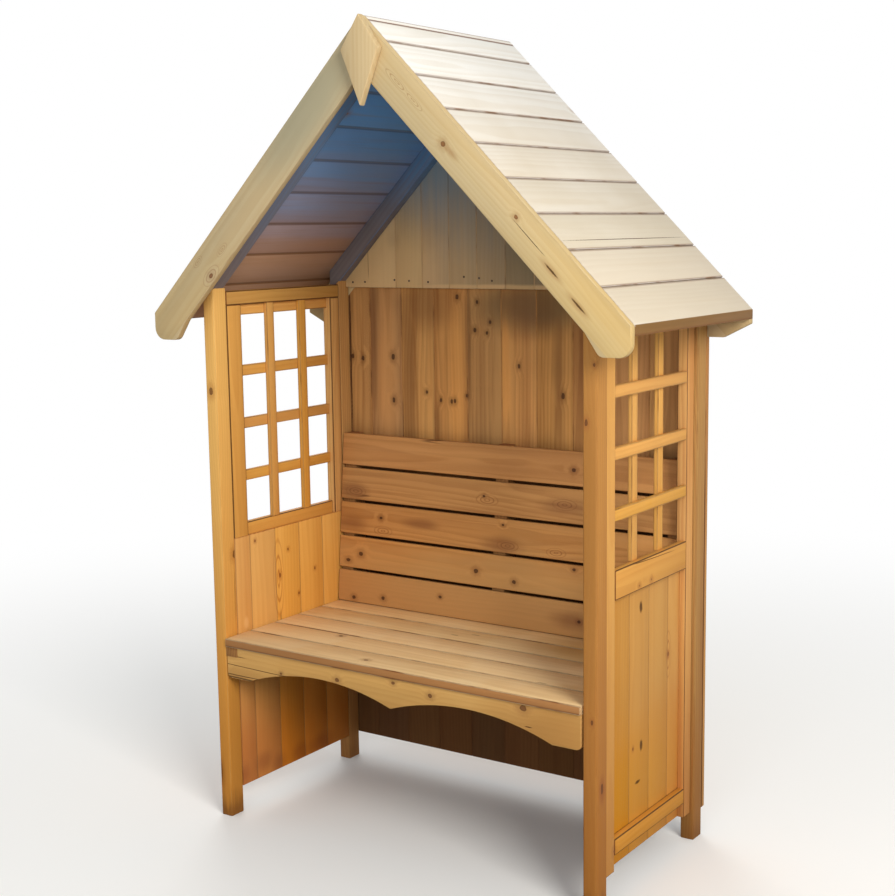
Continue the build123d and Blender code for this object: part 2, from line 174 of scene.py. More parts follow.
# The timber of each place. early and late are the two halves of a growth ring, pale the sun
# bleach that comes in between the two heights of paleFrom, deep the stain that comes in between
# those of deepFrom, on the inner face alone where a look asks for it. On the posts pale and deep
# are partly painted light and shade too, lighter towards the top and darker towards the foot. On
# the rafters pale is a blue painted shade towards the ridge, and deep is painted shade under the
# seat on the back wall and a blue painted shade towards the top of the gable. shade, stain and
# pale also colour the marks below, which markTurn turns. foot is the damp at the ground, cracks
# the share of drying checks, arris how far the edges are worn pale, partly a painted highlight,
# and spread how much the boards differ. The roof has two tones for its underside, brown low down
# and a blue painted shade towards the ridge, and one for its sawn ends at the eave, end grain in
# painted shade; the seat has two for its front edge, the lower a painted shadow line along its
# foot. A look takes what it doesn't name from plainLook.
plainLook = {"knots": 0.03, "cracks": 0.0, "spread": 0.05, "arris": 0.5, "markTurn": 0.0,
             "jointWide": 0.0034, "jointTone": tone(92, 54, 30)}
timberLooks = {
    "postPine": {
        "early": tone(224, 172, 98), "late": tone(196, 136, 68), "knot": tone(104, 62, 30),
        "stain": tone(150, 84, 36), "pale": tone(230, 184, 112), "deep": tone(202, 130, 54),
        "ringWidth": 0.0085, "ringDepth": 0.26, "streaks": 0.2, "knots": 0.04,
        "paleFrom": (0.75, 1.7), "paleShare": 0.5, "deepFrom": (1.0, 0.15), "deepShare": 0.8,
        "foot": 0.9, "jointDirt": 0.45},
    "rightPostPine": {
        "early": tone(182, 122, 49), "late": tone(157, 93, 34), "knot": tone(100, 56, 28),
        "stain": tone(146, 78, 34), "pale": tone(200, 142, 72), "deep": tone(166, 98, 30),
        "ringWidth": 0.0085, "ringDepth": 0.26, "streaks": 0.2, "knots": 0.04,
        "paleFrom": (0.75, 1.7), "paleShare": 0.5, "deepFrom": (1.0, 0.15), "deepShare": 0.6,
        "foot": 0.7, "jointDirt": 0.45, "shade": tone(160, 104, 40)},
    "sidePine": {
        "early": tone(213, 155, 76), "late": tone(188, 122, 50), "knot": tone(116, 64, 32),
        "stain": tone(152, 84, 40), "pale": tone(228, 174, 98), "deep": tone(180, 112, 50),
        "ringWidth": 0.0095, "ringDepth": 0.28, "streaks": 0.25, "knots": 0.05, "cracks": 0.05,
        "spread": 0.07, "paleFrom": (0.7, 1.6), "paleShare": 0.3, "deepFrom": (0.6, 0.1),
        "deepShare": 0.4, "foot": 0.5, "jointDirt": 0.7},
    "liningPine": {
        "early": tone(218, 160, 82), "late": tone(196, 130, 56), "knot": tone(120, 64, 32),
        "stain": tone(158, 84, 40), "pale": tone(230, 178, 108), "deep": tone(204, 112, 40),
        "ringWidth": 0.012, "ringDepth": 0.25, "streaks": 0.25, "knots": 0.0, "spread": 0.02,
        "paleFrom": (0.5, 0.74), "paleShare": 0.2, "deepFrom": (0.45, 0.1), "deepShare": 0.7,
        "foot": 0.5, "jointDirt": 0.4, "arris": 0.15, "shade": tone(224, 158, 58)},
    "stilePine": {
        "early": tone(212, 161, 98), "late": tone(178, 117, 66), "knot": tone(98, 52, 26),
        "stain": tone(140, 76, 36), "pale": tone(222, 170, 96), "deep": tone(176, 106, 46),
        "ringWidth": 0.008, "ringDepth": 0.45, "streaks": 0.7, "knots": 0.02, "spread": 0.03,
        "paleFrom": (0.7, 1.6), "paleShare": 0.2, "deepFrom": (0.6, 0.1), "deepShare": 0.4,
        "foot": 0.5, "jointDirt": 0.75},
    "backPine": {
        "early": tone(202, 148, 88), "late": tone(152, 98, 54), "knot": tone(64, 38, 22),
        "stain": tone(104, 62, 36), "pale": tone(224, 160, 90), "deep": tone(84, 52, 30),
        "ringWidth": 0.01, "ringDepth": 0.35, "streaks": 0.7, "cracks": 0.05, "spread": 0.16,
        "paleFrom": (0.6, 1.5), "paleShare": 0.1, "deepFrom": (1.02, 0.8), "deepShare": 0.85,
        "deepShadeInside": True, "foot": 0.5, "jointDirt": 0.45, "shade": tone(120, 100, 66)},
    "gablePine": {
        "early": tone(192, 160, 114), "late": tone(164, 130, 88), "knot": tone(74, 52, 36),
        "stain": tone(120, 104, 84), "pale": tone(216, 176, 122), "deep": tone(112, 142, 158),
        "ringWidth": 0.01, "ringDepth": 0.25, "streaks": 0.3, "knots": 0.05, "spread": 0.06,
        "deepFrom": (1.44, 1.76), "deepShare": 0.8, "deepShadeInside": True, "jointDirt": 0.25,
        "shade": tone(100, 92, 74)},
    "rakePine": {
        "early": tone(206, 181, 136), "late": tone(186, 150, 98), "knot": tone(128, 76, 42),
        "stain": tone(160, 112, 66), "pale": tone(210, 188, 146), "deep": tone(210, 176, 112),
        "ringWidth": 0.009, "ringDepth": 0.3, "streaks": 0.42, "spread": 0.03,
        "paleFrom": (1.2, 2.0), "paleShare": 0.4, "deepFrom": (1.58, 1.34), "deepShare": 0.4,
        "jointDirt": 0.22, "shade": tone(168, 160, 130), "markTurn": roofPitch},
    "roofPine": {
        "early": tone(210, 197, 175), "late": tone(196, 177, 148), "knot": tone(170, 134, 96),
        "stain": tone(150, 112, 74), "pale": tone(234, 231, 224), "ringWidth": 0.011,
        "ringDepth": 0.18, "streaks": 0.18, "knots": 0.02, "spread": 0.035,
        "paleFrom": (1.45, 1.98), "paleShare": 0.9, "jointDirt": 0.9,
        "jointTone": tone(122, 82, 46), "jointWide": 0.0052, "underLow": tone(176, 140, 114),
        "underShadeHigh": tone(110, 164, 218), "underShadeFrom": (1.42, 1.8),
        "underShadeJoint": tone(88, 118, 152), "eaveEndInShade": tone(124, 92, 54)},
    "seatPine": {
        "early": tone(242, 206, 148), "late": tone(212, 170, 114), "knot": tone(112, 72, 42),
        "stain": tone(146, 100, 60), "pale": tone(242, 214, 164), "ringWidth": 0.0085,
        "ringDepth": 0.3, "streaks": 0.45, "knots": 0.04, "cracks": 0.1, "paleFrom": (0.46, 0.49),
        "paleShare": 0.4, "jointDirt": 0.9, "jointTone": tone(104, 56, 24),
        "shade": tone(206, 163, 97), "edge": tone(170, 116, 62), "edgeFootShadow": tone(104, 62, 30)},
    "apronPine": {
        "early": tone(212, 164, 92), "late": tone(190, 138, 72), "knot": tone(106, 64, 36),
        "stain": tone(146, 98, 54), "pale": tone(220, 176, 108), "deep": tone(182, 128, 66),
        "ringWidth": 0.009, "ringDepth": 0.28, "streaks": 0.25, "paleFrom": (0.4, 0.48),
        "paleShare": 0.3, "deepFrom": (0.42, 0.34), "deepShare": 0.3, "jointDirt": 0.3,
        "shade": tone(184, 132, 68)},
    # the rafters stand in shade: their timber is painted dark, and blue as painted shade towards
    # the ridge
    "shadedLoftPine": {
        "early": tone(128, 116, 112), "late": tone(102, 92, 90), "knot": tone(60, 44, 36),
        "stain": tone(92, 78, 68), "pale": tone(84, 130, 172), "ringWidth": 0.01,
        "ringDepth": 0.25, "streaks": 0.25, "paleFrom": (1.42, 1.8), "paleShare": 0.9,
        "jointDirt": 0.2},
    "restPine": {
        "early": tone(196, 138, 74), "late": tone(146, 90, 42), "knot": tone(56, 30, 18),
        "stain": tone(112, 62, 36), "pale": tone(206, 154, 94), "deep": tone(190, 144, 86),
        "ringWidth": 0.009, "ringDepth": 0.46, "streaks": 0.6, "cracks": 0.05,
        "paleFrom": (0.5, 1.1), "paleShare": 0.3, "deepFrom": (0.72, 0.55), "deepShare": 0.8,
        "jointDirt": 0.7},
}

# Marks that the photo shows: the centre and the half sizes of each, in millimetres. Those of
# the rakes have their half sizes in a frame turned by the roof's pitch, so they run down it.
timberMarks = {
    "postPine": {
        "knots": [(-545, -246, 1129, 6, 20, 10), (-526.5, -200, 700, 6, 8, 11)],
        "slits": [
            (-522, -246, 192, 2, 8, 4), (-524, -246, 121, 2, 8, 4), (-557, -246, 120, 1.5, 10, 30)],
        "stains": [(-555, -246, 115, 10, 20, 50)]},
    "rightPostPine": {
        # painted shade over the middle height of the front face
        "shades": [(544.5, -246, 900, 40, 4, 300)],
        "knots": [
            (535.5, -246, 1114.5, 4, 6, 7), (555, -246, 1239, 3, 6, 4), (550, -246, 452.5, 3, 6, 5),
            (562.5, -222, 296, 10, 5, 12)],
        "stains": [(562.5, -222, 290, 15, 14, 30)]},
    "sidePine": {
        "knots": [
            (562.5, -147, 120, 10, 6, 8), (562.5, -26.5, 715, 10, 4, 4),
            (562.5, 35, 717, 10, 4, 4)],
        "pales": [(-538.5, 119, 1328.5, 12, 10, 10)]},
    "liningPine": {
        # this shade mark makes the foot of the right lining lighter and yellower, not darker
        "shades": [(535.5, -20, 160, 10, 300, 200)],
        "knots": [
            (-526.5, -24, 608, 10, 4, 7), (-526.5, 12, 673, 8, 3, 4), (-526.5, 52.5, 542, 8, 3, 4),
            (-526.5, 124, 598, 8, 3, 4), (-526.5, -120, 720, 8, 3, 4), (535.5, 164, 503, 6, 4, 6),
            (535.5, -20, 320, 6, 3, 4)],
        "slits": [
            (535.5, 18, 653, 16, 7.5, 14), (535.5, 22, 317, 16, 7, 14),
            (535.5, 4, 232, 16, 13, 4.2)],
        "whorls": [(-526.5, -30, 600, 12, 22, 110), (535.5, 164, 503, 8, 16, 60)],
        "stains": [
            (-526.5, -113, 112, 10, 34, 26), (-526.5, -48, 90, 10, 30, 30),
            (-526.5, 37, 90, 10, 34, 30), (-526.5, -200, 100, 10, 30, 30),
            (-526.5, 130, 90, 10, 60, 28)],
        "pales": [(-526.5, -164, 507.5, 10, 10, 18), (535.5, -150, 450, 6, 14, 260)]},
    "backPine": {
        "slits": [(-525, 308, 1180, 3, 12, 240)],
        "knots": [
            (-518, 308, 1176, 5, 12, 7), (-482, 308, 1171, 5, 12, 7), (-377, 308, 1179, 6, 12, 8),
            (-377, 308, 1058, 5, 12, 7), (-264, 308, 1086, 4, 12, 5), (-218, 308, 1066, 4, 12, 6),
            (-172, 308, 1066, 4, 12, 6), (-161, 308, 1347, 5, 12, 7),
            (-97.5, 308, 1334.5, 4, 12, 5), (-57, 308, 1282, 4, 12, 5), (-105, 308, 1260, 5, 12, 6),
            (-67, 308, 1253, 4, 12, 5), (-133, 308, 1082, 4, 12, 5), (164, 308, 1097, 5, 12, 8),
            (31.5, 308, 1169, 4, 12, 6)],
        "stains": [
            (-440, 308, 1240, 16, 12, 220), (-325, 308, 1120, 26, 12, 300),
            (-232, 308, 1000, 12, 12, 100), (-260, 308, 1330, 90, 12, 70),
            (-126, 308, 1260, 10, 12, 160), (60, 308, 1320, 110, 12, 80),
            (150, 308, 1150, 18, 12, 200), (-530, 308, 1300, 14, 12, 120),
            # the last stain is a painted shadow, a darker band down the right of the wall
            (235, 308, 1200, 40, 12, 260)],
        "pales": [
            (-400, 308, 1120, 34, 12, 220), (-165, 308, 1120, 30, 12, 220),
            (-10, 308, 1140, 16, 12, 160)],
        # painted shade along the top of the wall, right of the middle
        "shades": [(90, 308, 1330, 190, 12, 65)]},
    "gablePine": {
        "stains": [(-358, 294, 1494, 22, 10, 28)],
        # painted shade over the gable's upper right
        "shades": [(220, 294, 1560, 400, 6, 400)],
        # painted light: a highlight along the foot of the boards, and a lighter patch on the left
        "pales": [(0, 294, 1373, 700, 10, 9), (-400, 294, 1430, 200, 6, 130)]},
    "rakePine": {
        "shades": [(-150, -306, 1815, 200, 12, 70)],
        "knots": [
            (218, -306, 1709, 5.5, 30, 7), (401, -306, 1550, 4, 20, 5),
            (-474, -306, 1422, 7, 20, 5)],
        "slits": [
            (486, -306, 1438, 2.4, 12, 22), (550, -306, 1366, 2.4, 12, 24),
            (432, -306, 1507, 1, 10, 55)],
        "stains": [
            (486, -306, 1438, 8, 12, 34), (550, -306, 1366, 8, 12, 36),
            (238, -306, 1690, 8, 12, 24)],
        "whorls": [
            (-474, -306, 1422, 34, 12, 18), (-516, -306, 1456, 20, 12, 10),
            (-435, -306, 1485, 22, 12, 10), (98, -306, 1848, 9, 12, 44),
            (140, -306, 1806, 8, 12, 36)],
        "pales": [(-474, -306, 1422, 30, 12, 16)]},
    "roofPine": {
        "slits": [(500, 10, 1500, 1.2, 300, 1.2)]},
    "apronPine": {
        "shades": [(480, -246, 380, 200, 12, 100)],
        "knots": [
            (-161, -246, 433.5, 6, 14, 5), (10, -246, 454, 5, 14, 4), (118, -246, 440, 6, 14, 5),
            (374, -246, 455, 9, 14, 7), (-341.5, -246, 420, 4, 14, 3),
            (-506, -246, 446.5, 8, 14, 5)],
        "slits": [(387, -246, 413, 10, 12, 1.4), (-484, -246, 441.7, 24, 12, 1)]},
    "seatPine": {
        # painted shade on the seat's right rear
        "shades": [(440, 120, 486, 220, 110, 20)],
        "knots": [(-282, -74, 486, 6, 5, 10), (-95, -213, 486, 6, 5, 10)],
        "slits": [
            (13, 115, 486, 14, 1.4, 10), (-34, 87, 486, 12, 1.4, 10),
            (365, -147, 486, 14, 1.4, 10)]},
    "restPine": {
        "knots": [
            (-448, 233, 626, 7, 12, 6), (-62, 233, 623, 7, 12, 6), (58, 232, 608, 6, 12, 5),
            (235.5, 236, 661, 5, 12, 4), (-366, 223, 511, 6, 12, 5), (-468, 222, 501, 6, 12, 5),
            (-174.5, 226, 539, 5, 12, 4), (223, 259, 915, 6, 12, 5), (-382, 243, 734, 5, 12, 4),
            (256, 225, 529, 5, 12, 4), (-45, 251, 825, 4, 12, 3), (17.5, 244.5, 754, 4, 12, 3)],
        "whorls": [
            (-472, 249, 801, 34, 14, 15), (-35, 250, 815, 36, 14, 15), (201, 251, 824, 36, 14, 15),
            (-373.5, 240, 698, 32, 14, 14), (35, 240, 700.5, 34, 14, 14),
            (181, 240, 698, 30, 14, 13)],
        "stains": [
            (-490, 241, 710, 60, 14, 22), (20, 240, 700, 60, 14, 24), (-480, 249, 800, 50, 14, 26),
            (205, 250, 820, 70, 14, 22), (235, 225, 530, 60, 14, 22),
            (-250, 241, 730, 60, 14, 14)]},
}


# What all the timbers share. A pair is where a mask starts and ends: metres, parts of a noise
# from 0 to 1, or half sizes of a mark. A drawn-out pattern has its waves in a metre along and
# across the board, a shift that makes it its own, its detail and its roughness; an even one
# has its waves in a metre and its detail.
drawnPatterns = {
    "streak": (2.2, 70.0, 0.0, 3.0, 0.55), "fibre": (9.0, 480.0, 0.0, 1.0, 0.5),
    "band": (1.1, 17.0, 0.0, 2.0, 0.5), "ripple": (3.0, 14.0, 0.0, 2.0, 0.5),
    "checkLine": (1.1, 40.0, 5.0, 0.0, 0.5), "checkPlace": (2.4, 12.0, 9.0, 1.0, 0.5)}
evenPatterns = {"blotch": (2.4, 3.0), "patch": (11.0, 3.0), "ragged": (150.0, 2.0)}
boardLuck = {"dice": 91.7, "along": 37.0, "across": 11.0, "wander": 23.0, "hue": 0.006,
             "saturation": 0.08, "tint": 0.35, "lightness": (0.955, 0.05, 0.04),
             "clouds": (0.93, 0.14)}
knotForm = {"cellLong": 0.30, "cellWide": 0.085, "scatter": 0.85, "squash": 0.72,
            "least": 0.0030, "growth": 0.0035, "blend": 0.01, "away": 50, "ragged": (0.65, 0.7),
            "core": (1.15, 0.75), "rim": (0.55, 0.95), "halo": (3.6, 1.0), "coreShare": 0.80,
            "rimShare": 0.55, "haloShare": 0.36, "rimTone": tone(58, 34, 20)}
ringForm = {"pithSide": 0.10, "pithDepth": 0.015, "pithScatter": 0.05, "wanderLong": 0.8,
            "wanderSide": 0.10, "wanderDepth": 0.05, "ripple": 0.012, "knotReach": (6.0, 0.0),
            "knotBulge": 0.010, "rise": (0.15, 0.85), "fall": (1.0, 0.88)}
crackForm = {"line": (0.018, 0.003), "rare": 0.70, "more": 0.10, "blend": 0.05,
             "slit": (1.25, 0.55), "share": 0.85, "tone": tone(72, 42, 22)}
edgeForm = {"arris": (0.0030, 0.0006), "arrisUneven": 0.002, "arrisPatch": (0.30, 0.55),
            "jointCore": 0.0008, "jointUneven": 0.0015, "end": (0.0022, 0.0008),
            "endShare": 0.30, "endRings": 0.25, "seam": (0.0030, 0.0012), "seamShare": 0.85,
            "seamTone": tone(62, 34, 17)}
fading = {"streak": (0.50, 0.80), "band": (0.48, 0.72), "bandShare": 0.9, "light": (0.42, 0.24),
          "lightShare": 0.25, "paleClouds": 0.5, "ringsLeft": 0.3, "deepClouds": 0.3,
          "deepStreaks": 0.1, "inside": (0.0032, 0.0022), "arrisLost": 0.9}
roofForm = {"below": (0.0020, 0.0008), "belowEdge": (-0.0004, 0.0006), "clouds": 0.2,
            "streak": (0.45, 0.80), "streakShare": 0.3, "eave": (-0.0016, -0.0006),
            "eaveStreak": (0.40, 0.80), "eaveShare": 0.4, "arrisAbove": (-0.002, 0.002),
            "jointBelow": (0.0, -0.004), "ridgeClear": (0.020, 0.030)}
seatForm = {"foot": (0.0060, 0.0005), "streak": (0.45, 0.80), "streakShare": 0.3,
            "front": (0.0026, 0.0010)}
# each kind of mark: its tone in the look, its noise and how uneven that makes it, its fade
# from the outside in, and its share
markForm = {"shades": ("shade", "blotch", 0.8, (1.5, 0.3), 0.8),
            "stains": ("stain", "patch", 0.8, (1.5, 0.2), 0.5),
            "pales": ("pale", "patch", 0.6, (1.3, 0.4), 0.6)}
whorlForm = {"rings": 2.6, "uneven": 0.8, "line": (0.55, 0.95), "fade": (1.25, 0.7), "share": 0.55}
dampForm = {"reach": (0.075, 0.010), "streaks": 0.09, "patches": 0.06, "share": 0.7,
            "tone": tone(96, 54, 28)}
surface = {"rough": 0.58, "streakRough": 0.16, "crackRough": 0.15, "ringRough": -0.05,
           "endRough": 0.10, "fibre": 0.00008, "streak": 0.00020, "rings": -0.00010,
           "crack": -0.0010, "knotRim": -0.0003, "knotCore": -0.0001, "patch": 0.0002,
           "bump": 0.8, "gloss": 0.14}


def timber(name):
    look = {**plainLook, **timberLooks[name]}
    marks = timberMarks.get(name, {})
    onRoof = "underLow" in look
    material = bpy.data.materials.new(name)
    w = emptyTree(material)
    # metres along, across and through each board, its half sizes, and its own numbers
    along, across, through = w.column("grain")
    halfLong, halfWide, halfThick = w.column("half")
    luck, tint, seam = w.column("board")
    place = w.add("TexCoord", output="Object")
    side, front, height = place.parts()
    diceA, diceB, diceC = w.add("TexWhiteNoise", {"noise_dimensions": "1D"},
                                {"W": luck * boardLuck["dice"]}, "Color").parts()
    u = along + luck * boardLuck["along"]
    v = across + luck * boardLuck["across"]

    def drawnOut(pattern):
        long, fine, shift, detail, roughness = drawnPatterns[pattern]
        stretched = w.vector(u * long, v * fine, through * fine + shift)
        return w.noise(stretched, detail, roughness=roughness)

    # fibres and streaks drawn out along the board, and clouds of colour
    streak, fibre, band = [drawnOut(pattern) for pattern in ("streak", "fibre", "band")]
    clouds = {pattern: w.noise(place, detail, scale)
              for pattern, (scale, detail) in evenPatterns.items()}
    blotch, patch = clouds["blotch"], clouds["patch"]
    raggedBase, raggedShare = knotForm["ragged"]
    ragged = clouds["ragged"] * raggedShare + raggedBase

    # knots: a few at random, in stretched cells
    cellLong, cellWide = knotForm["cellLong"], knotForm["cellWide"]
    cell = w.add("TexVoronoi", {"voronoi_dimensions": "2D"},
                 {"Vector": w.vector(u / cellLong, v / cellWide, 0.0), "Scale": 1.0,
                  "Randomness": knotForm["scatter"]}, "Color")
    cellR, cellG, _ = cell.parts()
    knotU, knotV, _ = cell.pick("Position").parts()
    offU = (u - knotU * cellLong) * knotForm["squash"]
    offV = v - knotV * cellWide
    knotSize = cellG * knotForm["growth"] + knotForm["least"]
    rare = 1 - look["knots"]
    knotGap = (offU * offU + offV * offV) ** 0.5 / knotSize
    knotGap = knotGap + cellR.smooth(rare, rare - knotForm["blend"]) * knotForm["away"]

    # and those of the photo, like all its marks
    markPlace = place
    markFrame = Matrix.Rotation(look["markTurn"], 3, "Y")
    if look["markTurn"]:
        markPlace = w.add("VectorRotate", {"rotation_type": "Y_AXIS"},
                          {"Vector": place, "Angle": look["markTurn"]})

    def nearest(kind):
        gap = None
        for mark in marks.get(kind, []):
            x, y, z, *sizes = [part / 1000 for part in mark]
            one = markPlace.offset(markFrame @ Vector((x, y, z)), sizes)
            gap = gap.least(one) if gap else one
        return gap

    photoKnot = nearest("knots")
    if photoKnot:
        knotGap = knotGap.least(photoKnot)
    knotGap = knotGap * ragged
    knotCore = knotGap.smooth(*knotForm["core"])
    knotRim = knotGap.smooth(*knotForm["rim"]) * knotCore
    halo = knotGap.smooth(*knotForm["halo"])

    # growth rings round a pith that lies below or beside the board and wanders
    wander = w.vector(u * ringForm["wanderLong"], luck * boardLuck["wander"], 0.0)
    wander = w.noise(wander, 1.0) - 0.5
    sideGap = across - (diceA - 0.5) * ringForm["pithSide"] - wander * ringForm["wanderSide"]
    deepGap = (through + diceB * ringForm["pithScatter"] + ringForm["pithDepth"]
               + wander * ringForm["wanderDepth"])
    radius = (sideGap * sideGap + deepGap * deepGap) ** 0.5
    radius = radius + (drawnOut("ripple") - 0.5) * ringForm["ripple"]
    radius = radius + knotGap.smooth(*ringForm["knotReach"]) * ringForm["knotBulge"]
    ringPart = w.math("FRACT", radius / look["ringWidth"])
    late = ringPart.smooth(*ringForm["rise"]) * ringPart.smooth(*ringForm["fall"])

    # drying checks: thin lines where one noise crosses its middle, in the few places that
    # another leaves, and the slits of the photo
    checkLine = abs(drawnOut("checkLine") - 0.5).smooth(*crackForm["line"])
    rare = crackForm["rare"] - crackForm["more"] * look["cracks"]
    crack = checkLine * drawnOut("checkPlace").smooth(rare, rare + crackForm["blend"])
    slit = nearest("slits")
    if slit:
        crack = crack.most((slit * ragged).smooth(*crackForm["slit"]))

    # distance to the nearest arris: the middle one of the three gaps to the board's faces
    gapLong = halfLong - abs(along)
    gapWide = halfWide - abs(across)
    gapThick = halfThick - abs(through)
    arrisGap = gapLong.least(gapWide).most(gapLong.most(gapWide).least(gapThick))
    arris = (arrisGap + (patch - 0.5) * edgeForm["arrisUneven"]).smooth(*edgeForm["arris"])
    if onRoof:
        arris = arris * through.smooth(*roofForm["arrisAbove"])
    joint = gapWide.most(gapThick) + (streak - 0.5) * edgeForm["jointUneven"]
    joint = joint.smooth(look["jointWide"], edgeForm["jointCore"])
    endGrain = gapLong.smooth(*edgeForm["end"])
    seamLine = gapLong.least(gapWide).most(gapThick).smooth(*edgeForm["seam"])

    colour = look["early"]

    def paint(mask, shade):
        nonlocal colour
        colour = w.mix(mask, colour, shade)

    paint(late * look["ringDepth"], look["late"])
    paint(streak.smooth(*fading["streak"]) * look["streaks"], look["late"])
    paint(band.smooth(*fading["band"]) * look["streaks"] * fading["bandShare"], look["late"])
    paint(band.smooth(*fading["light"]) * fading["lightShare"], look["pale"])
    # pale: sun bleach, which on the posts is partly painted light towards the top; on the rafters
    # it is a blue painted shade towards the ridge
    if "paleFrom" in look:
        bleached = (height + (blotch - 0.5) * fading["paleClouds"]).smooth(*look["paleFrom"])
        paint(bleached * look["paleShare"] * (1 - late * fading["ringsLeft"]), look["pale"])
    # deep: a stain, which on the posts is partly painted shade towards the foot; on the back wall
    # it is painted shade under the seat, and on the gable a blue painted shade towards its top
    if "deepFrom" in look:
        deepened = (height + (blotch - 0.5) * fading["deepClouds"]
                    + (streak - 0.5) * fading["deepStreaks"]).smooth(*look["deepFrom"])
        # the painted shade of the back wall and the gable stays on their inner face, and takes the
        # pale from the arrises there
        if "deepShadeInside" in look:
            deepened = deepened * (through + halfThick).smooth(*fading["inside"])
            arris = arris * (1 - deepened * fading["arrisLost"])
        paint(deepened * look["deepShare"], look["deep"])
    if onRoof:
        # the boards seen from below, brown low down and a blue painted shade towards the ridge, and
        # their sawn ends at the eave, end grain in painted shade
        underShaded = w.mix((height + (band - 0.5) * roofForm["clouds"]).smooth(*look["underShadeFrom"]),
                      look["underLow"], look["underShadeHigh"])
        underShaded = w.mix(streak.smooth(*roofForm["streak"]) * roofForm["streakShare"], underShaded,
                      look["stain"])
        below = (through + halfThick).smooth(*roofForm["below"])
        paint(below * gapWide.smooth(*roofForm["belowEdge"]), underShaded)
        ends = w.mix(streak.smooth(*roofForm["eaveStreak"]) * roofForm["eaveShare"],
                     look["eaveEndInShade"], look["stain"])
        paint((abs(side) - eave).smooth(*roofForm["eave"]), ends)
    if "edge" in look:
        # the seat's front edge has kept its brown, with a painted shadow line along its foot
        edge = w.mix((height - seatFoot).smooth(*seatForm["foot"]), look["edge"],
                     look["edgeFootShadow"])
        edge = w.mix(streak.smooth(*seatForm["streak"]) * seatForm["streakShare"], edge,
                     look["edgeFootShadow"])
        paint((front - seatFront).smooth(*seatForm["front"]), edge)
    for kind, (toneName, pattern, uneven, fade, share) in markForm.items():
        gap = nearest(kind)
        if gap:
            paint((gap + (clouds[pattern] - 0.5) * uneven).smooth(*fade) * share, look[toneName])
    whorl = nearest("whorls")
    if whorl:
        # oval figure: rings that close round a spot and fade outwards
        ovals = whorl * whorlForm["rings"] + (patch - 0.5) * whorlForm["uneven"]
        ovals = (w.math("PINGPONG", ovals, 0.5) * 2).smooth(*whorlForm["line"])
        paint(ovals * whorl.smooth(*whorlForm["fade"]) * whorlForm["share"], look["stain"])
    paint(halo * knotForm["haloShare"], look["stain"])
    paint(knotCore * knotForm["coreShare"], look["knot"])
    paint(knotRim * knotForm["rimShare"], knotForm["rimTone"])
    paint(crack * crackForm["share"], crackForm["tone"])

    # each board is a little lighter or darker than the next, and its tint lightens or darkens the
    # whole piece; the dark tints of the top rails, rear posts, rear bargeboards and rear rafters
    # are painted shade
    base, streaky, fibrous = boardLuck["lightness"]
    value = base + streak * streaky + fibre * fibrous
    base, cloudy = boardLuck["clouds"]
    value = value * (base + blotch * cloudy) * (1 + tint * boardLuck["tint"])
    value = value * (1 + (diceC - 0.5) * 2 * look["spread"])
    colour = w.add("HueSaturation", {},
                   {"Hue": 0.5 + (diceA - 0.5) * boardLuck["hue"], "Value": value,
                    "Saturation": 1 - (diceB - 0.5) * boardLuck["saturation"], "Color": colour})

    dirt = look["jointTone"]
    if onRoof:
        # seen from below, the joints grow blue and faint towards the ridge, in the same painted
        # shade
        fromBelow = (through.smooth(*roofForm["jointBelow"])
                     * abs(side).smooth(*roofForm["ridgeClear"]))
        dirt = w.mix(height.smooth(*look["underShadeFrom"]) * fromBelow, dirt, look["underShadeJoint"])
    paint(joint * look["jointDirt"], dirt)
    # pale arrises: worn edges, partly also a painted highlight; they stay off the roof's underside
    # and off painted shade
    paint(arris * patch.smooth(*edgeForm["arrisPatch"]) * look["arris"], look["pale"])
    paint(seamLine * seam * edgeForm["seamShare"], edgeForm["seamTone"])
    paint(endGrain * (edgeForm["endShare"] + late * edgeForm["endRings"]), look["stain"])
    if "foot" in look:
        damp = height + (streak - 0.5) * dampForm["streaks"] + (patch - 0.5) * dampForm["patches"]
        paint(damp.smooth(*dampForm["reach"]) * look["foot"] * dampForm["share"],
              dampForm["tone"])

    rough = (surface["rough"] + streak * surface["streakRough"] + crack * surface["crackRough"]
             + late * surface["ringRough"] + endGrain * surface["endRough"])
    relief = (fibre * surface["fibre"] + streak * surface["streak"] + late * surface["rings"]
              + crack * surface["crack"] + knotRim * surface["knotRim"]
              + knotCore * surface["knotCore"] + patch * surface["patch"])
    normal = w.add("Bump", {}, {"Strength": surface["bump"], "Distance": 1.0, "Height": relief})
    w.add("BsdfPrincipled", {}, {"Base Color": colour, "Roughness": rough, "Normal": normal,
                                 "Specular IOR Level": surface["gloss"]}).finish()
    return material


nailHeads = {"tone": tone(96, 82, 68), "rust": tone(84, 50, 30), "spots": 900.0,
             "rustFrom": (0.45, 0.70), "relief": 0.0001, "bump": 0.5, "metallic": 0.5,
             "rough": 0.45, "spotRough": 0.3}


def nailMetal(name):
    material = bpy.data.materials.new(name)
    w = emptyTree(material)
    spots = w.noise(w.add("TexCoord", output="Object"), 3.0, nailHeads["spots"])
    shade = w.mix(spots.smooth(*nailHeads["rustFrom"]), nailHeads["tone"], nailHeads["rust"])
    normal = w.add("Bump", {}, {"Strength": nailHeads["bump"], "Distance": 1.0,
                                "Height": spots * nailHeads["relief"]})
    w.add("BsdfPrincipled", {}, {"Base Color": shade, "Metallic": nailHeads["metallic"],
                                 "Normal": normal, "Roughness":
                                 nailHeads["rough"] + spots * nailHeads["spotRough"]}).finish()
    return material


timbers = {name: timber(name) for name in timberLooks}
nailSteel = nailMetal("nailSteel")
print("materials made:", len(timbers) + 1)


# how the meshes are joined, flattened, eased and shaded
meshForm = {"weld": 0.00002, "flat": radians(0.4), "arris": radians(30), "smooth": radians(28)}


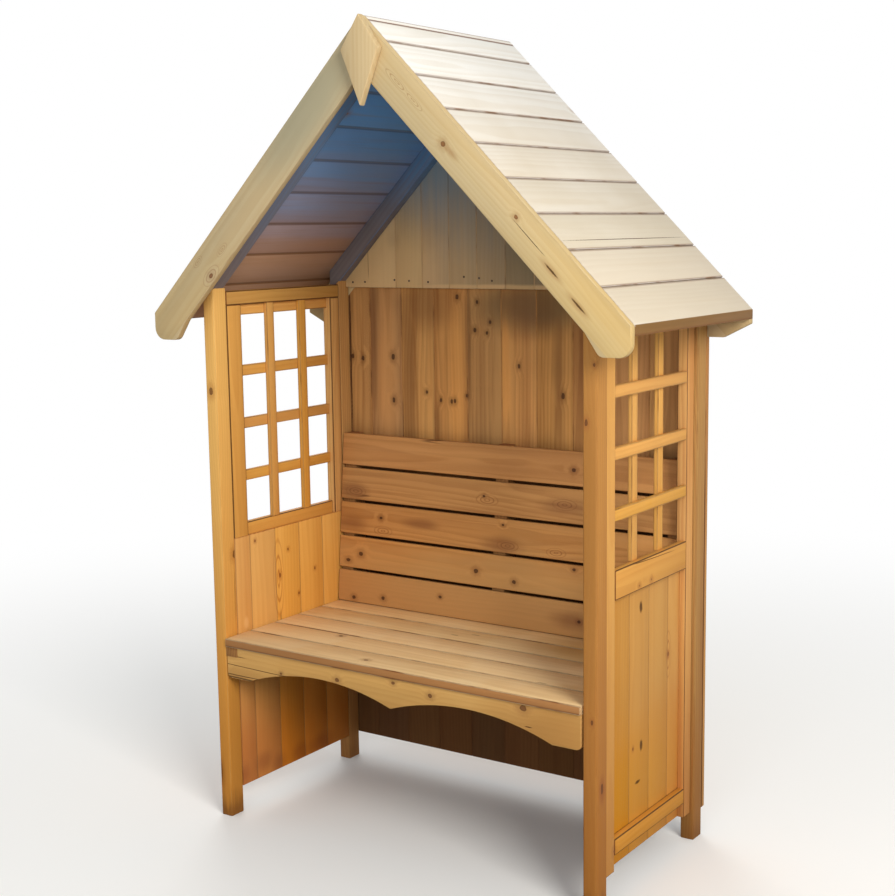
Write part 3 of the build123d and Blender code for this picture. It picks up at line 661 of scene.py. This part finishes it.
def work(piece):
    bpy.ops.object.select_all(action="DESELECT")
    piece.select_set(True)
    bpy.context.view_layer.objects.active = piece


def turned(along, across, centre):
    # a frame that stands at a point, with its axes along, across and through a board
    matrix = Matrix((along, across, along.cross(across))).transposed().to_4x4()
    matrix.translation = centre
    return matrix


def plank(name, stand, size):
    # a sawn board: a cube of the board's size, placed by its frame
    bpy.ops.object.select_all(action="DESELECT")
    bpy.ops.mesh.primitive_cube_add(size=1)
    piece = bpy.context.object
    piece.name = name
    piece.matrix_world = stand @ Matrix.Diagonal((*size, 1))
    bpy.ops.object.transform_apply(location=True, rotation=True, scale=True)
    return piece


def sawOff(piece, point, normal):
    # everything on the side that the normal points to is cut away
    work(piece)
    bpy.ops.object.mode_set(mode="EDIT")
    bpy.ops.mesh.select_all(action="SELECT")
    bpy.ops.mesh.bisect(plane_co=point, plane_no=normal, use_fill=True, clear_outer=True)
    bpy.ops.object.mode_set(mode="OBJECT")


def sawSlopes(piece, depth):
    # cut to both slopes of the roof, at a depth square below the roof's top
    top = (0, 0, ridge - depth / slope)
    for out in sides.values():
        if any(out * v.co.x + v.co.z > top[2] for v in piece.data.vertices):
            sawOff(piece, top, (out * slope, 0, slope))


def copyOfNode(name, node):
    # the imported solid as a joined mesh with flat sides
    piece = bpy.data.objects.new(name, nodes[node].data.copy())
    bpy.context.scene.collection.objects.link(piece)
    work(piece)
    bpy.ops.object.mode_set(mode="EDIT")
    bpy.ops.mesh.select_all(action="SELECT")
    bpy.ops.mesh.remove_doubles(threshold=meshForm["weld"])
    bpy.ops.mesh.dissolve_limited(angle_limit=meshForm["flat"])
    bpy.ops.object.mode_set(mode="OBJECT")
    return piece


def easeEdges(piece, width, segments=2):
    work(piece)
    bevel = piece.modifiers.new("eased", "BEVEL")
    bevel.width = width
    bevel.segments = segments
    bevel.limit_method = "ANGLE"
    bevel.angle_limit = meshForm["arris"]
    bpy.ops.object.modifier_apply(modifier=bevel.name)


def stampGrain(piece, stand, size, tint=0.0, seam=0.0):
    # each point keeps its place in its own board, for the timber materials
    mesh = piece.data
    back = stand.inverted()
    luck = chance.random()
    columns = {"grain": lambda point: back @ point,
               "half": lambda point: Vector(size) / 2,
               "board": lambda point: Vector((luck, tint, seam))}
    for name, rule in columns.items():
        attribute = mesh.attributes.new(name, "FLOAT_VECTOR", "POINT")
        values = []
        for vertex in mesh.vertices:
            values.extend(rule(vertex.co))
        attribute.data.foreach_set("vector", values)


def joinPieces(name, pieces):
    bpy.ops.object.select_all(action="DESELECT")
    for piece in pieces:
        piece.select_set(True)
    bpy.context.view_layer.objects.active = pieces[0]
    if len(pieces) > 1:
        bpy.ops.object.join()
    pieces[0].name = name
    return pieces[0]


def finishPiece(piece, material, node=None):
    work(piece)
    bpy.ops.object.shade_smooth_by_angle(angle=meshForm["smooth"])
    piece.data.materials.clear()
    piece.data.materials.append(material)
    if node:
        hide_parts(node)
    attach(piece, "root")


def boxStand(low, high, along, across):
    # frame and size of a board that fills a box
    span = high - low
    size = Vector([abs(axis.dot(span)) for axis in (along, across, along.cross(across))])
    return turned(along, across, (low + high) / 2), size


def boxBoard(name, low, high, along, across, ease, tint=0.0, seam=0.0):
    stand, size = boxStand(Vector(low), Vector(high), along, across)
    piece = plank(name, stand, size)
    easeEdges(piece, ease)
    stampGrain(piece, stand, size, tint, seam)
    return piece


def dressedNode(node, along, across, ease, material, tint=0.0, seam=0.0):
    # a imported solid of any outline, with its arrises eased
    stand, size = boxStand(*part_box(node), along, across)
    piece = copyOfNode(node + "_timber", node)
    easeEdges(piece, ease)
    stampGrain(piece, stand, size, tint, seam)
    finishPiece(piece, material, node)


# each upright has its timber and tint; the dark tints of the top rails and the rear posts are
# painted shade. A seam is the dark line round a jointed piece
framing = {
    "ease": 0.0018, "seam": 1.0, "railTints": {"top": -0.60, "middle": 0.10, "bottom": 0.0},
    "posts": {"front_post_left": ("postPine", 0.10), "front_post_right": ("rightPostPine", 0.0),
              "rear_post_left": ("stilePine", -0.45), "rear_post_right": ("stilePine", -0.95)},
    "stiles": {"side_front_stile_left": ("sidePine", 0.0),
               "side_front_stile_right": ("sidePine", 0.0),
               "side_rear_stile_left": ("stilePine", -0.05),
               "side_rear_stile_right": ("stilePine", 0.0)}}

for node, (wood, tint) in framing["posts"].items():
    dressedNode(node, zAxis, xAxis, framing["ease"], timbers[wood], tint)
for node, (wood, tint) in framing["stiles"].items():
    dressedNode(node, zAxis, yAxis, framing["ease"], timbers[wood], tint, framing["seam"])
for side in sides:
    for level, tint in framing["railTints"].items():
        node = f"side_{level}_rail_{side}"
        piece = boxBoard(node + "_timber", *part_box(node), yAxis, zAxis, framing["ease"], tint,
                         framing["seam"])
        finishPiece(piece, timbers["sidePine"], node)
print("posts, stiles and rails done")


# each lattice has upright slats inside and level bars outside, the bars' top row taller
lattice = {"columns": 3, "rows": 4, "topRow": 0.130, "slat": 0.028, "bar": 0.028,
           "ease": 0.0012}

for side, out in sides.items():
    low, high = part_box(f"side_lattice_{side}")
    columnGap = (high.y - low.y - (lattice["columns"] - 1) * lattice["slat"]) / lattice["columns"]
    shared = high.z - low.z - lattice["rows"] * lattice["bar"] - lattice["topRow"]
    rowGap = shared / (lattice["rows"] - 1)
    middle = (low.x + high.x) / 2
    slatX, barX = ((low.x, middle), (middle, high.x))[::out]
    strips = []
    for i in range(1, lattice["columns"]):
        y = low.y + i * columnGap + (i - 1) * lattice["slat"]
        strips.append(boxBoard("slat", (slatX[0], y, low.z),
                               (slatX[1], y + lattice["slat"], high.z),
                               zAxis, yAxis, lattice["ease"]))
    feet = [low.z + i * (rowGap + lattice["bar"]) - lattice["bar"]
            for i in range(1, lattice["rows"])]
    for z in feet + [high.z - lattice["bar"]]:
        strips.append(boxBoard("bar", (barX[0], low.y, z),
                               (barX[1], high.y, z + lattice["bar"]),
                               yAxis, zAxis, lattice["ease"]))
    finishPiece(joinPieces(f"side_lattice_{side}_strips", strips), timbers["sidePine"],
                f"side_lattice_{side}")
print("lattices done")


# walls of upright boards side by side, which the roof's slopes cut at the top
walls = {"back": {"cover": 0.108, "ease": 0.0018, "wood": "backPine", "depth": 0.088},
         "gable": {"cover": 0.088, "ease": 0.0014, "wood": "gablePine", "depth": 0.060},
         "lining": {"cover": 0.100, "ease": 0.0012, "wood": "liningPine"},
         "liningTints": {"left": 0.0, "right": -0.55}}


def uprightBoards(node, wall, joints, axis, tint=0.0):
    low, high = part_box(node)
    index = (xAxis, yAxis).index(axis)
    boards = []
    for start, stop in zip(joints, joints[1:]):
        a, b = Vector(low), Vector(high)
        a[index], b[index] = start, stop
        stand, size = boxStand(a, b, zAxis, axis)
        board = plank("board", stand, size)
        if "depth" in wall:
            sawSlopes(board, wall["depth"])
        easeEdges(board, wall["ease"])
        stampGrain(board, stand, size, tint)
        boards.append(board)
    finishPiece(joinPieces(node + "_timber", boards), timbers[wall["wood"]], node)


low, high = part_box("back_wall")
cover = walls["back"]["cover"]
count = int((high.x - low.x) / cover)
joints = [low.x + i * cover for i in range(count + 1)] + [high.x]
uprightBoards("back_wall", walls["back"], joints, xAxis)

low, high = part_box("gable_boards")
cover = walls["gable"]["cover"]
half = int(high.x / cover)
joints = [i * cover for i in range(-half, half + 1)]
joints[0], joints[-1] = low.x, high.x
uprightBoards("gable_boards", walls["gable"], joints, xAxis)

cover = walls["lining"]["cover"]
for side in sides:
    low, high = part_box(f"side_boards_{side}")
    count = int((high.y - low.y) / cover)
    joints = [low.y] + [high.y - i * cover for i in range(count, -1, -1)]
    uprightBoards(f"side_boards_{side}", walls["lining"], joints, yAxis,
                  walls["liningTints"][side])
print("walls done")


# small round nail heads along the foot of the gable's boards
nails = {"radius": 0.0030, "stand": 0.0008, "sides": 12, "places": [
    (-0.501, 1.384), (-0.4585, 1.385), (-0.357, 1.391), (-0.308, 1.389), (-0.245, 1.3865),
    (-0.129, 1.401), (-0.081, 1.398), (-0.041, 1.391)]}

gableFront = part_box("gable_boards")[0].y
bpy.ops.object.select_all(action="DESELECT")
bpy.ops.mesh.primitive_cylinder_add(vertices=nails["sides"], radius=nails["radius"],
                                    depth=nails["stand"] * 2, rotation=(radians(90), 0, 0))
firstNail = bpy.context.object
bpy.ops.object.transform_apply(location=True, rotation=True, scale=True)
easeEdges(firstNail, nails["stand"] / 2)
heads = []
for x, z in nails["places"]:
    head = firstNail.copy()
    head.data = firstNail.data.copy()
    bpy.context.scene.collection.objects.link(head)
    head.location = (x, gableFront, z)
    work(head)
    bpy.ops.object.transform_apply(location=True, rotation=True, scale=True)
    heads.append(head)
bpy.data.objects.remove(firstNail)
finishPiece(joinPieces("gable_nail_heads", heads), nailSteel)
print("nail heads done")


# the roof's boards lie level on each slope, tongued together; the eave boards are cut plumb
roof = {"cover": 0.108, "gap": 0.0030, "thick": 0.016, "ease": 0.0016, "tongueThick": 0.005,
        "tongueWide": 0.009, "tongueDrop": 0.0105}

roofLow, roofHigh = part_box("roof_boards_right")
slopeLength = eave / slope


def slopeAxes(out):
    # the way down one slope, and the way square out of it
    return Vector((out * slope, 0, -slope)), Vector((out * slope, 0, slope))


def slopePlank(name, out, far, near, depth, thick):
    # a board across one slope, between two distances down from the ridge
    downSlope, outward = slopeAxes(out)
    middle = (far + near) / 2
    centre = Vector((out * middle * slope, (roofLow.y + roofHigh.y) / 2, ridge - middle * slope))
    stand = turned(yAxis * out, -downSlope, centre - outward * (depth + thick / 2))
    size = Vector((roofHigh.y - roofLow.y, far - near, thick))
    return plank(name, stand, size), stand, size


for side, out in sides.items():
    joints = [slopeLength + roof["thick"]]
    mark = slopeLength - roof["cover"]
    while mark > roof["cover"] / 2:
        joints.append(mark)
        mark -= roof["cover"]
    joints.append(roof["thick"] if out > 0 else 0.0)
    boards = []
    for far, near in zip(joints, joints[1:]):
        gapFar = roof["gap"] / 2 if far < slopeLength else 0.0
        gapNear = roof["gap"] / 2 if near > roof["thick"] else 0.0
        board, stand, size = slopePlank("roofBoard", out, far - gapFar, near + gapNear, 0,
                                        roof["thick"])
        if far > slopeLength:
            sawOff(board, (out * eave, 0, 0), (out, 0, 0))
        easeEdges(board, roof["ease"])
        if gapNear:
            tongue = slopePlank("tongue", out, near + roof["tongueWide"] / 2,
                                near - roof["tongueWide"] / 2, roof["tongueDrop"],
                                roof["tongueThick"])[0]
            board = joinPieces("roofBoard", [board, tongue])
        stampGrain(board, stand, size)
        boards.append(board)
    finishPiece(joinPieces(f"roof_boards_{side}_timber", boards), timbers["roofPine"],
                f"roof_boards_{side}")

# rafters and bargeboards run down the slopes; top and foot are depths square below the roof
rakes = {
    "front_bargeboard": {"wood": "rakePine", "top": 0.0, "foot": 0.088, "ease": 0.0018,
                         "tints": {"left": -0.60, "right": -0.05}},
    # the dark tints of the rear bargeboards and the rear rafters are painted shade
    "rear_bargeboard": {"wood": "rakePine", "top": 0.016, "foot": 0.088, "ease": 0.0018,
                        "tints": {"left": -0.55, "right": -0.55}},
    "front_rafter": {"wood": "shadedLoftPine", "top": 0.016, "foot": 0.060, "ease": 0.0015,
                     "tints": {"left": 0.0, "right": 0.0}},
    "rear_rafter": {"wood": "shadedLoftPine", "top": 0.016, "foot": 0.060, "ease": 0.0015,
                    "tints": {"left": -0.35, "right": -0.35}}}
# neither the mitre nor the shaped foot is a square end, so the ends are put far off
farEnds = 1.0

for kind, rake in rakes.items():
    for side, out in sides.items():
        node = f"{kind}_{side}"
        low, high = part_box(node)
        downSlope, outward = slopeAxes(out)
        reach = (high.x if out > 0 else -low.x) / slope
        centre = Vector((0, (low.y + high.y) / 2, ridge))
        centre += downSlope * reach / 2 - outward * (rake["top"] + rake["foot"]) / 2
        stand = turned(downSlope, outward, centre)
        size = Vector((reach + farEnds, rake["foot"] - rake["top"], high.y - low.y))
        piece = copyOfNode(node + "_timber", node)
        easeEdges(piece, rake["ease"])
        stampGrain(piece, stand, size, rake["tints"][side])
        finishPiece(piece, timbers[rake["wood"]], node)

finial = {"ease": 0.0030, "tint": -0.32}
dressedNode("finial", zAxis, xAxis, finial["ease"], timbers["rakePine"], finial["tint"])
print("roof done")


# the tints run from the seat's front and from the backrest's foot
seat = {"slatEase": 0.0018, "apronEase": 0.0020, "frameEase": 0.0012, "frameTint": -0.6,
        "slatTints": (-0.04, 0.02, 0.0, -0.05, -0.10),
        "restTints": (0.0, 0.02, -0.10, -0.03, 0.02)}

for i, (slatTint, restTint) in enumerate(zip(seat["slatTints"], seat["restTints"]), 1):
    node = f"seat_slat_{i}"
    piece = boxBoard(node + "_timber", *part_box(node), xAxis, yAxis, seat["slatEase"], slatTint)
    finishPiece(piece, timbers["seatPine"], node)
    dressedNode(f"backrest_slat_{i}", xAxis, zAxis, seat["slatEase"], timbers["restPine"],
                restTint)
dressedNode("seat_apron", xAxis, zAxis, seat["apronEase"], timbers["apronPine"])
for node, along, across in (("seat_bearers", yAxis, zAxis), ("seat_back_rail", xAxis, zAxis),
                            ("backrest_bearers", zAxis, yAxis)):
    dressedNode(node, along, across, seat["frameEase"], timbers["restPine"], seat["frameTint"])
print("seat done")


# a large soft lamp on the right, a weak one in front, another behind, and an even sky; the
# floor is white to the camera and darker below the arbour to everything else
studio = {
    "lamps": {
        "key": {"power": 345, "tone": (1.0, 0.97, 0.92), "size": 2.8, "place": (5.5, -3.3, 3.8)},
        "front": {"power": 85, "tone": (0.94, 0.97, 1.0), "size": 3.5, "place": (2.0, -5.8, 2.5)},
        "back": {"power": 120, "tone": (1.0, 0.98, 0.95), "size": 3.0,
                 "place": (-4.2, 4.6, 3.6)}},
    "aim": (0, 0, 1.0), "skyTone": (0.94, 0.97, 1.0, 1.0), "skyStrength": 0.55,
    "white": (1, 1, 1, 1), "floorSize": 40, "floorTone": tone(250, 249, 246), "floorRough": 0.9,
    "floorGloss": 0.1, "bounceNear": tone(96, 84, 72), "bounceFar": tone(222, 226, 232),
    "bounce": (0.8, 2.6), "floorWhite": (1.1, 4.2)}


def cameraRays(w):
    # 1 where the camera looks straight at a surface, or sees it in glass or gloss
    rays = w.add("LightPath", output="Is Camera Ray")
    return rays.most(rays.pick("Is Glossy Ray")).most(rays.pick("Is Transmission Ray"))


bpy.ops.object.select_all(action="DESELECT")
bpy.ops.mesh.primitive_plane_add(size=studio["floorSize"])
floor = bpy.context.object
floor.name = "studio_floor"
floorPaint = bpy.data.materials.new("floorPaint")
w = emptyTree(floorPaint)
place = w.add("TexCoord", output="Object")
away = w.add("VectorMath", {"operation": "LENGTH"}, {0: place}, "Value")
direct = cameraRays(w)
bounce = w.mix(away.smooth(*studio["bounce"]), studio["bounceNear"], studio["bounceFar"])
paint = w.mix(direct, bounce, studio["floorTone"])
matt = w.add("BsdfPrincipled", {}, {"Base Color": paint, "Roughness": studio["floorRough"],
                                    "Specular IOR Level": studio["floorGloss"]})
glow = w.add("Emission", {}, {"Color": studio["white"], "Strength": 1.0})
fade = away.smooth(*studio["floorWhite"])
w.add("MixShader", {}, {0: fade * direct, 1: matt, 2: glow}).finish()
floor.data.materials.append(floorPaint)

world = bpy.data.worlds.new("studioSky")
bpy.context.scene.world = world
w = emptyTree(world)
sky = w.add("Background", {}, {"Color": studio["skyTone"], "Strength": studio["skyStrength"]})
white = w.add("Background", {}, {"Color": studio["white"], "Strength": 1.0})
w.add("MixShader", {}, {0: cameraRays(w), 1: sky, 2: white}).finish("World")

for name, form in studio["lamps"].items():
    lamp = bpy.data.lights.new(name, "AREA")
    lamp.energy = form["power"]
    lamp.color = form["tone"]
    lamp.size = form["size"]
    light = bpy.data.objects.new(name, lamp)
    bpy.context.scene.collection.objects.link(light)
    light.location = form["place"]
    beam = Vector(studio["aim"]) - light.location
    light.rotation_euler = beam.to_track_quat("-Z", "Y").to_euler()

# the view comes from a fit to the photo's edges: metres, degrees and millimetres
view = {"place": (2.0431, -2.9894, 1.5285), "yaw": 34.213, "pitch": 8.461, "roll": -0.818,
        "lens": 59.346, "sensor": 36}
camera = bpy.data.cameras.new("view")
camera.sensor_fit = "HORIZONTAL"
camera.sensor_width = view["sensor"]
camera.lens = view["lens"]
watcher = bpy.data.objects.new("view", camera)
bpy.context.scene.collection.objects.link(watcher)
watcher.matrix_world = (Matrix.Translation(view["place"])
                        @ Matrix.Rotation(radians(view["yaw"]), 4, "Z")
                        @ Matrix.Rotation(radians(90 - view["pitch"]), 4, "X")
                        @ Matrix.Rotation(radians(view["roll"]), 4, "Z"))
bpy.context.scene.camera = watcher
bpy.context.scene.view_settings.view_transform = "Standard"
print("light and camera set")
